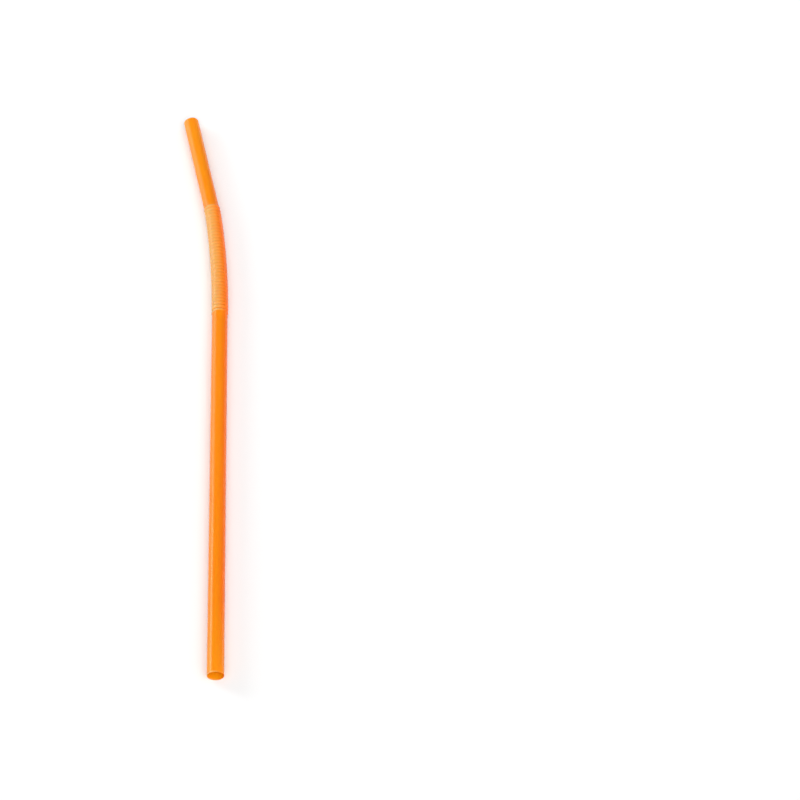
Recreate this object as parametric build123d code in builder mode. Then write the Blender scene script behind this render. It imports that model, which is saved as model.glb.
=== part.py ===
from build123d import *
from math import cos, radians, sin
import os

# Flexible drinking straw: one extruded polypropylene tube, with a stretch near the mouth rolled into
# ring folds that are pushed together to a bellows. Nothing is joined to it, so it is one solid.
# It lies on its side on z = 0. The drink end points to -Y, and the mouth end is bent towards -X.

# Plain tube at both ends
tube_diameter = 6.0
wall = 0.2
drink_length = 158.0
mouth_length = 48.0

# Bellows: crests with a root between each two, and a cone from the plain tube to the first and last crest
fold_count = 34
fold_pitch = 1.6
open_pitch = 2.0
crest_diameter = 6.4
root_diameter = 5.2
shoulder_length = 0.6

# Bend in degrees: a part spread evenly over all the folds, and a sharper turn next to the mouth tube
even_bend = 7.5
kink_bend = 3.2
kink_folds = 3

# How far the bore is cut beyond both open ends
cut_overrun = 1.0

tube_radius = tube_diameter / 2
crest_radius = crest_diameter / 2
root_radius = root_diameter / 2
gap_count = fold_count - 1


def heading_vector(heading):
    """Direction of the centreline, turned by heading degrees from +Y towards -X."""
    return Vector(-sin(radians(heading)), cos(radians(heading)), 0)


def cross_section(spot, heading):
    """Plane square to the centreline, with the seam of its circles on the underside."""
    return Plane(origin=spot, x_dir=(0, 0, -1), z_dir=heading_vector(heading))


def gap_pitch(gap):
    """Distance from one crest to the next. The fold beside the drink tube stands more open."""
    return open_pitch if gap == 0 else fold_pitch


def gap_turn(gap):
    """Angle from one crest to the next."""
    turn = even_bend / gap_count
    if gap >= gap_count - kink_folds:
        turn += kink_bend / kink_folds
    return turn


def bellows_rings():
    """Planes and outer radii of the bellows, walked along the centreline from drink tube to mouth tube."""
    spot = Vector(0, drink_length, 0)
    heading = 0
    rings = [(cross_section(spot, heading), tube_radius)]
    spot += heading_vector(heading) * shoulder_length
    for gap in range(gap_count):
        flank = gap_pitch(gap) / 2
        half_turn = gap_turn(gap) / 2
        rings.append((cross_section(spot, heading), crest_radius))
        heading += half_turn
        spot += heading_vector(heading) * flank
        rings.append((cross_section(spot, heading), root_radius))
        spot += heading_vector(heading) * flank
        heading += half_turn
    rings.append((cross_section(spot, heading), crest_radius))
    spot += heading_vector(heading) * shoulder_length
    rings.append((cross_section(spot, heading), tube_radius))
    return rings


def straw_form(inset, overrun):
    """Straw filled solid, with its skin moved in by inset and both ends drawn out by overrun."""
    rings = bellows_rings()
    lower_plane, upper_plane = rings[0][0], rings[-1][0]
    with BuildPart() as form:
        for plane, radius in rings:
            with BuildSketch(plane):
                Circle(radius - inset)
        loft(ruled=True)
        with BuildSketch(lower_plane):
            Circle(tube_radius - inset)
        extrude(amount=-(drink_length + overrun))
        with BuildSketch(upper_plane):
            Circle(tube_radius - inset)
        extrude(amount=mouth_length + overrun)
    return form.part


# The bore follows the skin one wall inside it, so the sloping flanks of the folds come out thinner.
with BuildPart() as tube:
    add(straw_form(0, 0))
    add(straw_form(wall, cut_overrun), mode=Mode.SUBTRACT)

# Set down with its lowest crests on z = 0 and the middle of its box over the origin
reach = tube.part.bounding_box()
set_down = Location((-reach.center().X, -reach.center().Y, -reach.min.Z))
with BuildPart() as straw:
    add(tube.part.moved(set_down))

os.makedirs("parts", exist_ok=True)
straw.part.label = "straw"
export_step(straw.part, "parts/straw.step")
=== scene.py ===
import math
from collections import namedtuple
import bmesh
import bpy
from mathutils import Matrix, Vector


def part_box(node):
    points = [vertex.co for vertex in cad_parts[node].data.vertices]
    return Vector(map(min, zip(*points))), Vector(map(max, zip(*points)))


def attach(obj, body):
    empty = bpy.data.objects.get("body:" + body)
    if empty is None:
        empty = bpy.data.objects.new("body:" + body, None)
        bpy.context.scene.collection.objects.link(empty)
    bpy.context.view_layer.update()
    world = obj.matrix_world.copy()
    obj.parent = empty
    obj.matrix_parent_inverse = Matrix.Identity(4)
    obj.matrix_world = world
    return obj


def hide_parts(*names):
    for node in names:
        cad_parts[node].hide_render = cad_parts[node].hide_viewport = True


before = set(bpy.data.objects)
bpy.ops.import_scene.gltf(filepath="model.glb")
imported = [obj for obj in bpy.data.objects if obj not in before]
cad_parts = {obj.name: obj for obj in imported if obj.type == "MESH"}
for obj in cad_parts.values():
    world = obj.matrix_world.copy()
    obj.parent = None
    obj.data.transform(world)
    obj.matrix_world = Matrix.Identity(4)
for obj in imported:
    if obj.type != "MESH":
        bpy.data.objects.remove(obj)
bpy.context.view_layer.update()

# Straw: one tube of tinted polypropylene, extruded in a long run and cut square at both ends.
# Near the mouth its warm wall was rolled into ring folds, pushed together into a slightly bent bellows.
# Nothing is joined to it. It lies on its side, on the crests of its folds.
tube_radius = 0.0030
wall = 0.0002
drink_length = 0.158
mouth_length = 0.048
tube_step = 0.004
rim_round = 0.00006
rim_steps = 3
steps_beside_rim = 4

fold_count = 34
fold_pitch = 0.0016
open_pitch = 0.0020
root_radius = 0.0026
shoulder_length = 0.0006
closed_crest_power = 0.10
open_crest_power = 0.45
open_folds = 2
steps_per_flank = 6
steps_per_shoulder = 4

even_bend = math.radians(7.5)
kink_bend = math.radians(3.2)
kink_folds = 3
segments = 80

# How far the tint is whitened, from 0 in the plain wall to 1 in the most strained stretches. It also
# carries painted light:
# a paler root against the shade in each groove, a paler cut rim, and a painted sheen on the left side, so
# the right side keeps more of the clear tint.
root_whitening_and_painted_light = 1.0
crest_whitening = 0.60
lip_root_whitening = 0.28
lip_whitening = 1.0
rim_painted_light = 0.80
rim_fade = 0.0007
root_reach_power = 3
unlit_side_whitening = 0.05
full_sheen_share = -0.60
no_sheen_share = 0.70

# Painted light: how far the tint is painted paler near the cut ends, standing in for light that gets in and
# comes back through the thin wall
skin_glow = 0.28
bore_glow = 0.90
drink_glow_fade = 0.030
mouth_glow_fade = 0.060

low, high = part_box("straw")
crest_radius = (high.z - low.z) / 2
drink_end = Vector((high.x - crest_radius, low.y, low.z + crest_radius))
gap_count = fold_count - 1


def heading_vector(heading):
    """Direction of the centreline, turned by heading from +Y towards -X."""
    return Vector((-math.sin(heading), math.cos(heading), 0))


def gap_turn(gap):
    """Angle from one crest to the next, sharper beside the mouth tube."""
    turn = even_bend / gap_count
    if gap >= gap_count - kink_folds:
        turn += kink_bend / kink_folds
    return turn


def fold_height(gap, share):
    """Height above the root, 0 to 1, at a share of the way between two crests: round crests, tight roots.

    The folds are pushed shut, apart from those at both ends of the bellows, which stand more open."""
    from_end = min(gap, gap_count - 1 - gap)
    opening = max(0.0, 1 - from_end / open_folds)
    power = closed_crest_power + (open_crest_power - closed_crest_power) * opening
    return abs(math.cos(math.pi * share)) ** power


Station = namedtuple("Station", "centre heading distance radius whitening glow")


def straw_stations():
    """Stations of the outer skin from the drink end to the mouth."""
    stations = []
    spot, heading, distance = drink_end.copy(), 0.0, 0.0

    def run(length, steps, radius_at, whitening_at, turn=0.0, spacing=lambda share: share, last=False):
        """Walks one stretch whose radius and whitening are given by the share of its length."""
        nonlocal spot, heading, distance
        forward = heading_vector(heading + turn / 2)
        for step in range(steps + last):
            share = spacing(step / steps)
            stations.append(Station(
                centre=spot + forward * length * share,
                heading=heading + turn * share,
                distance=distance + length * share,
                radius=radius_at(share),
                whitening=whitening_at(share),
                glow=0.0,
            ))
        spot = spot + forward * length
        heading += turn
        distance += length

    def rise(share):
        """Radius of a shoulder from the tube to the first crest, drawn up in an even curve."""
        return tube_radius + (crest_radius - tube_radius) * (1 - math.cos(math.pi * share)) / 2

    def fold(gap):
        """Radius over one fold."""
        return lambda share: root_radius + (crest_radius - root_radius) * fold_height(gap, share)

    def root_spacing(share):
        """Spacing of the stations over a fold, closer together towards the root in its middle."""
        off = 1 - 2 * share
        return (1 - off * abs(off)) / 2

    def strain_and_painted_light(gap):
        """Whitening over one fold: the folds at both ends of the bellows are drawn hardest. The pale root
        is partly painted light against the shade in the groove.
        """
        at_lip = gap in (0, gap_count - 1)
        top = lip_whitening if at_lip else crest_whitening
        foot = lip_root_whitening if at_lip else root_whitening_and_painted_light
        return lambda share: foot + (top - foot) * fold_height(gap, share) ** root_reach_power

    def tube_run(start, end, steps, length, last=False):
        """Plain tube between two distances from its cut end, with painted light just at the cut, where the
        cut face catches light.
        """
        def at(share):
            away = start + (end - start) * share
            return rim_painted_light * max(0.0, 1 - away / rim_fade)
        run(length, steps, lambda share: tube_radius, at, last=last)

    plain_drink = drink_length - rim_fade
    tube_run(0, rim_fade, steps_beside_rim, rim_fade)
    tube_run(rim_fade, drink_length, round(plain_drink / tube_step), plain_drink)
    run(shoulder_length, steps_per_shoulder, rise, lambda share: lip_whitening * share)
    for gap in range(gap_count):
        pitch = open_pitch if gap == 0 else fold_pitch
        run(pitch, 2 * steps_per_flank, fold(gap), strain_and_painted_light(gap), turn=gap_turn(gap), spacing=root_spacing)
    run(
        shoulder_length,
        steps_per_shoulder,
        lambda share: rise(1 - share),
        lambda share: lip_whitening * (1 - share),
    )
    plain_mouth = mouth_length - rim_fade
    tube_run(mouth_length, rim_fade, round(plain_mouth / tube_step), plain_mouth)
    tube_run(rim_fade, 0, steps_beside_rim, rim_fade, last=True)
    return stations


def straw_section():
    """Closed run of stations: up the skin, over the mouth rim, down the bore and over the drink rim."""
    outer = straw_stations()
    first, last = outer[0], outer[-1]

    def rim(end, outward):
        """Stations over a cut end, from the outer skin to the bore, with both edges slightly rounded."""
        forward = heading_vector(end.heading) * outward
        over = []
        for edge in (0, 1):
            for step in range(1, rim_steps + 1):
                turn = math.pi / 2 * (step - edge) / rim_steps
                if edge == 0:
                    inset = rim_round * (1 - math.cos(turn))
                    back = rim_round * (1 - math.sin(turn))
                else:
                    inset = wall - rim_round * (1 - math.sin(turn))
                    back = rim_round * (1 - math.cos(turn))
                over.append(end._replace(
                    centre=end.centre - forward * back,
                    distance=end.distance - outward * back,
                    radius=end.radius - inset,
                ))
        return over

    def drawn_in(end, outward):
        """End station moved back by the rounding of its rim."""
        return end._replace(
            centre=end.centre - heading_vector(end.heading) * outward * rim_round,
            distance=end.distance - outward * rim_round,
        )

    def lit_up(station, glow):
        """Station with its painted glow, which fades away from both cut ends."""
        at_drink = 1 - station.distance / drink_glow_fade
        at_mouth = 1 - (last.distance - station.distance) / mouth_glow_fade
        return station._replace(glow=glow * max(0.0, at_drink, at_mouth))

    outer[0], outer[-1] = drawn_in(first, -1), drawn_in(last, 1)
    skin = [lit_up(station, skin_glow) for station in outer]
    bore = [
        lit_up(station._replace(radius=station.radius - wall), bore_glow)
        for station in reversed(outer)
    ]
    return skin + rim(last, 1) + bore + rim(first, -1)[::-1]


def painted_side_sheen(across_share):
    """Share of the whitening left at a place across the straw, from -1 on the left side to 1 on the right:
    a painted sheen, full on the left and nearly gone on the right.
    """
    reach = (across_share - full_sheen_share) / (no_sheen_share - full_sheen_share)
    reach = min(1.0, max(0.0, reach))
    return 1 - (1 - unlit_side_whitening) * reach * reach * (3 - 2 * reach)


def straw_mesh():
    """Skin of the straw. Each point keeps its place on the straight tube, its whitening with painted light,
    and its painted glow.
    """
    section = straw_section()
    mesh = bpy.data.meshes.new("flexible_straw")
    work = bmesh.new()
    as_extruded = work.verts.layers.float_vector.new("as_extruded")
    whitening = work.verts.layers.float.new("whitening")
    glow = work.verts.layers.float.new("glow")
    rings = []
    for station in section:
        side = Vector((math.cos(station.heading), math.sin(station.heading), 0))
        ring = []
        for segment in range(segments):
            angle = math.tau * segment / segments
            across, up = station.radius * math.cos(angle), station.radius * math.sin(angle)
            point = work.verts.new(station.centre + side * across + Vector((0, 0, up)))
            point[as_extruded] = Vector((across, station.distance, up))
            # The whitening is scaled by the painted side sheen, paler on the left
            point[whitening] = station.whitening * painted_side_sheen(math.cos(angle))
            point[glow] = station.glow
            ring.append(point)
        rings.append(ring)
    for ring, following in zip(rings, rings[1:] + rings[:1]):
        for segment in range(segments):
            beside = (segment + 1) % segments
            face = work.faces.new((ring[segment], ring[beside], following[beside], following[segment]))
            face.smooth = True
    bmesh.ops.recalc_face_normals(work, faces=work.faces)
    work.to_mesh(mesh)
    work.free()
    return mesh


def orange_polypropylene():
    """Tinted polypropylene: clear orange in the plain wall, milky where strained, with faint die lines.
    Painted light makes it paler near the cut ends and on the left side, and painted shade deepens its tint
    on the right side.
    """
    clear_tint = (0.99, 0.255, 0.004, 1)
    streak_tint = (0.98, 0.225, 0.003, 1)
    painted_shade_tint = (0.99, 0.155, 0.002, 1)
    painted_light_tint = (0.99, 0.38, 0.006, 1)
    strained_and_painted_light_tint = (0.79, 0.455, 0.15, 1)
    gloss_tint = (1.0, 0.85, 0.60, 1)
    evening_out = 2.2
    refraction = 1.49
    gloss_level = 0.28
    least_roughness = 0.20
    most_roughness = 0.28
    scatter_share = 0.3
    scatter_reach = 0.001
    scatter_by_colour = (0.8, 0.3, 0.06)
    die_line_stretch = (5000, 5, 5000)
    die_line_detail = 3.0
    die_line_strength = 0.15
    die_line_height = 0.00001
    cloud_scale = 70.0
    cloud_detail = 2.0

    material = bpy.data.materials.new("orange_polypropylene")
    material.use_nodes = True
    nodes, links = material.node_tree.nodes, material.node_tree.links
    plastic = nodes["Principled BSDF"]
    plastic.inputs["IOR"].default_value = refraction
    plastic.inputs["Specular IOR Level"].default_value = gloss_level
    plastic.inputs["Specular Tint"].default_value = gloss_tint
    plastic.inputs["Subsurface Weight"].default_value = scatter_share
    plastic.inputs["Subsurface Radius"].default_value = scatter_by_colour
    plastic.inputs["Subsurface Scale"].default_value = scatter_reach

    place = nodes.new("ShaderNodeAttribute")
    place.attribute_name = "as_extruded"
    strain_and_painted_light = nodes.new("ShaderNodeAttribute")
    strain_and_painted_light.attribute_name = "whitening"
    painted_glow_mask = nodes.new("ShaderNodeAttribute")
    painted_glow_mask.attribute_name = "glow"

    # Die lines: fine streaks drawn out along the length of the tube
    drawn_out = nodes.new("ShaderNodeMapping")
    drawn_out.inputs["Scale"].default_value = die_line_stretch
    links.new(place.outputs["Vector"], drawn_out.inputs["Vector"])
    die_lines = nodes.new("ShaderNodeTexNoise")
    die_lines.inputs["Scale"].default_value = 1.0
    die_lines.inputs["Detail"].default_value = die_line_detail
    links.new(drawn_out.outputs["Vector"], die_lines.inputs["Vector"])

    # Slow changes of tint, where the wall is a little thicker or thinner
    clouds = nodes.new("ShaderNodeTexNoise")
    clouds.inputs["Scale"].default_value = cloud_scale
    clouds.inputs["Detail"].default_value = cloud_detail
    links.new(place.outputs["Vector"], clouds.inputs["Vector"])

    tint = nodes.new("ShaderNodeMix")
    tint.data_type = "RGBA"
    tint.inputs["A"].default_value = clear_tint
    tint.inputs["B"].default_value = streak_tint
    streak_share = nodes.new("ShaderNodeMath")
    streak_share.operation = "MULTIPLY"
    links.new(die_lines.outputs["Fac"], streak_share.inputs[0])
    links.new(clouds.outputs["Fac"], streak_share.inputs[1])
    links.new(streak_share.outputs["Value"], tint.inputs["Factor"])

    # Painted shade: the tint is painted deeper on the right side of the straw, the bend's outer side.
    # Near the cut ends the painted glow evens this painted shade out.
    across = nodes.new("ShaderNodeSeparateXYZ")
    links.new(place.outputs["Vector"], across.inputs["Vector"])
    painted_shade_side = nodes.new("ShaderNodeMapRange")
    painted_shade_side.interpolation_type = "SMOOTHSTEP"
    painted_shade_side.inputs["From Min"].default_value = 0
    painted_shade_side.inputs["From Max"].default_value = tube_radius
    links.new(across.outputs["X"], painted_shade_side.inputs["Value"])
    evened_out = nodes.new("ShaderNodeMath")
    evened_out.operation = "MULTIPLY_ADD"
    evened_out.inputs[1].default_value = -evening_out
    evened_out.inputs[2].default_value = 1
    links.new(painted_glow_mask.outputs["Fac"], evened_out.inputs[0])
    links.new(evened_out.outputs["Value"], painted_shade_side.inputs["To Max"])
    painted_shade = nodes.new("ShaderNodeMix")
    painted_shade.data_type = "RGBA"
    painted_shade.inputs["B"].default_value = painted_shade_tint
    links.new(painted_shade_side.outputs["Result"], painted_shade.inputs["Factor"])
    links.new(tint.outputs["Result"], painted_shade.inputs["A"])

    # Painted light: the tint is painted paler near the cut ends, as if lit from inside the tube
    lit = nodes.new("ShaderNodeMix")
    lit.data_type = "RGBA"
    lit.inputs["B"].default_value = painted_light_tint
    links.new(painted_glow_mask.outputs["Fac"], lit.inputs["Factor"])
    links.new(painted_shade.outputs["Result"], lit.inputs["A"])

    # Whitening: strain whitening, with painted light at the fold roots, at the cut rims and as a painted
    # sheen on the left side
    whitened_and_painted_light = nodes.new("ShaderNodeMix")
    whitened_and_painted_light.data_type = "RGBA"
    whitened_and_painted_light.inputs["B"].default_value = strained_and_painted_light_tint
    links.new(strain_and_painted_light.outputs["Fac"], whitened_and_painted_light.inputs["Factor"])
    links.new(lit.outputs["Result"], whitened_and_painted_light.inputs["A"])
    links.new(whitened_and_painted_light.outputs["Result"], plastic.inputs["Base Color"])

    gloss = nodes.new("ShaderNodeMapRange")
    gloss.inputs["To Min"].default_value = least_roughness
    gloss.inputs["To Max"].default_value = most_roughness
    links.new(die_lines.outputs["Fac"], gloss.inputs["Value"])
    links.new(gloss.outputs["Result"], plastic.inputs["Roughness"])

    relief = nodes.new("ShaderNodeBump")
    relief.inputs["Strength"].default_value = die_line_strength
    relief.inputs["Distance"].default_value = die_line_height
    links.new(die_lines.outputs["Fac"], relief.inputs["Height"])
    links.new(relief.outputs["Normal"], plastic.inputs["Normal"])
    return material


straw = bpy.data.objects.new("flexible_straw", straw_mesh())
bpy.context.collection.objects.link(straw)
straw.data.materials.append(orange_polypropylene())
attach(straw, "root")
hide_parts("straw")

# Floor: a plain board painted matt white, which the straw lies on. It is only the setting.
# A little light of its own lifts it to white in the picture, and it keeps the straw's soft shadow.
floor_radius = 6.0
floor_sides = 96
floor_white = 0.86
floor_lift = 0.09

floor_work = bmesh.new()
bmesh.ops.create_circle(floor_work, cap_ends=True, radius=floor_radius, segments=floor_sides)
floor_mesh = bpy.data.meshes.new("floor")
floor_work.to_mesh(floor_mesh)
floor_work.free()
floor = bpy.data.objects.new("floor", floor_mesh)
bpy.context.collection.objects.link(floor)

matt_white = bpy.data.materials.new("matt_white")
matt_white.use_nodes = True
white_nodes, white_links = matt_white.node_tree.nodes, matt_white.node_tree.links
white_nodes.remove(white_nodes["Principled BSDF"])
paint = white_nodes.new("ShaderNodeBsdfDiffuse")
paint.inputs["Color"].default_value = (floor_white, floor_white, floor_white, 1)
seen = white_nodes.new("ShaderNodeLightPath")
glossy_too = white_nodes.new("ShaderNodeMath")
glossy_too.operation = "MAXIMUM"
white_links.new(seen.outputs["Is Camera Ray"], glossy_too.inputs[0])
white_links.new(seen.outputs["Is Glossy Ray"], glossy_too.inputs[1])
transmission_too = white_nodes.new("ShaderNodeMath")
transmission_too.operation = "MAXIMUM"
white_links.new(glossy_too.outputs["Value"], transmission_too.inputs[0])
white_links.new(seen.outputs["Is Transmission Ray"], transmission_too.inputs[1])
lift_strength = white_nodes.new("ShaderNodeMath")
lift_strength.operation = "MULTIPLY"
lift_strength.inputs[1].default_value = floor_lift
white_links.new(transmission_too.outputs["Value"], lift_strength.inputs[0])
lift = white_nodes.new("ShaderNodeEmission")
white_links.new(lift_strength.outputs["Value"], lift.inputs["Strength"])
both = white_nodes.new("ShaderNodeAddShader")
white_links.new(paint.outputs["BSDF"], both.inputs[0])
white_links.new(lift.outputs["Emission"], both.inputs[1])
white_links.new(both.outputs["Shader"], white_nodes["Material Output"].inputs["Surface"])
floor.data.materials.append(matt_white)

# Light: a wide soft key above and in front, a soft strip low at the left and back, a weak fill from the
# right and a dim room all round. A small soft box close by at the left puts a streak on the drink end.
# Together they light a level white surface to about white.
key_toward = Vector((0.10, -0.68, 0.73))
key_level = 0.785
key_spread = math.radians(60)
strip_toward = Vector((-0.77, 0.60, 0.22))
strip_level = 0.31
strip_spread = math.radians(40)
fill_toward = Vector((0.80, -0.25, 0.45))
fill_level = 0.25
fill_spread = math.radians(90)
room_level = 0.28
box_toward = Vector((-0.79, 0.49, 0.36))
box_away = 0.75
box_width = 0.26
box_power = 1.05


def soft_lamp(name, toward, level, spread):
    """Soft light from one side. A level of 1 lights a white surface that faces it to white."""
    lamp = bpy.data.lights.new(name, "SUN")
    lamp.energy = math.pi * level
    lamp.angle = spread
    holder = bpy.data.objects.new(name, lamp)
    holder.rotation_euler = toward.to_track_quat("Z", "Y").to_euler()
    bpy.context.collection.objects.link(holder)


soft_lamp("key_light", key_toward, key_level, key_spread)
soft_lamp("strip_light", strip_toward, strip_level, strip_spread)
soft_lamp("fill_light", fill_toward, fill_level, fill_spread)
soft_box = bpy.data.lights.new("soft_box", "AREA")
soft_box.shape = "DISK"
soft_box.size = box_width
soft_box.energy = box_power
box_holder = bpy.data.objects.new("soft_box", soft_box)
box_holder.location = drink_end + box_toward * box_away
box_holder.rotation_euler = box_toward.to_track_quat("Z", "Y").to_euler()
box_holder.visible_camera = False
bpy.context.collection.objects.link(box_holder)
room = bpy.data.worlds.new("room")
room.use_nodes = True
room.node_tree.nodes["Background"].inputs["Color"].default_value = (1, 1, 1, 1)
room.node_tree.nodes["Background"].inputs["Strength"].default_value = room_level
bpy.context.scene.world = room
bpy.context.scene.view_settings.view_transform = "Standard"

# Camera: it looks down on the straw from beyond the drink end, with the mouth end at the top of the picture
# and the straw left of the middle. The lens is long, so the tube narrows only a little with distance.
camera_place = Vector((0.054379, -0.525970, 0.687852))
look_down = math.radians(53.2447)
look_right = math.radians(2.1370)
lens_length = 103.5
sensor_width = 36.0

camera_data = bpy.data.cameras.new("camera")
camera_data.lens = lens_length
camera_data.sensor_width = sensor_width
camera = bpy.data.objects.new("camera", camera_data)
camera.location = camera_place
camera.rotation_euler = (math.pi / 2 - look_down, 0, -look_right)
bpy.context.collection.objects.link(camera)
bpy.context.scene.camera = camera
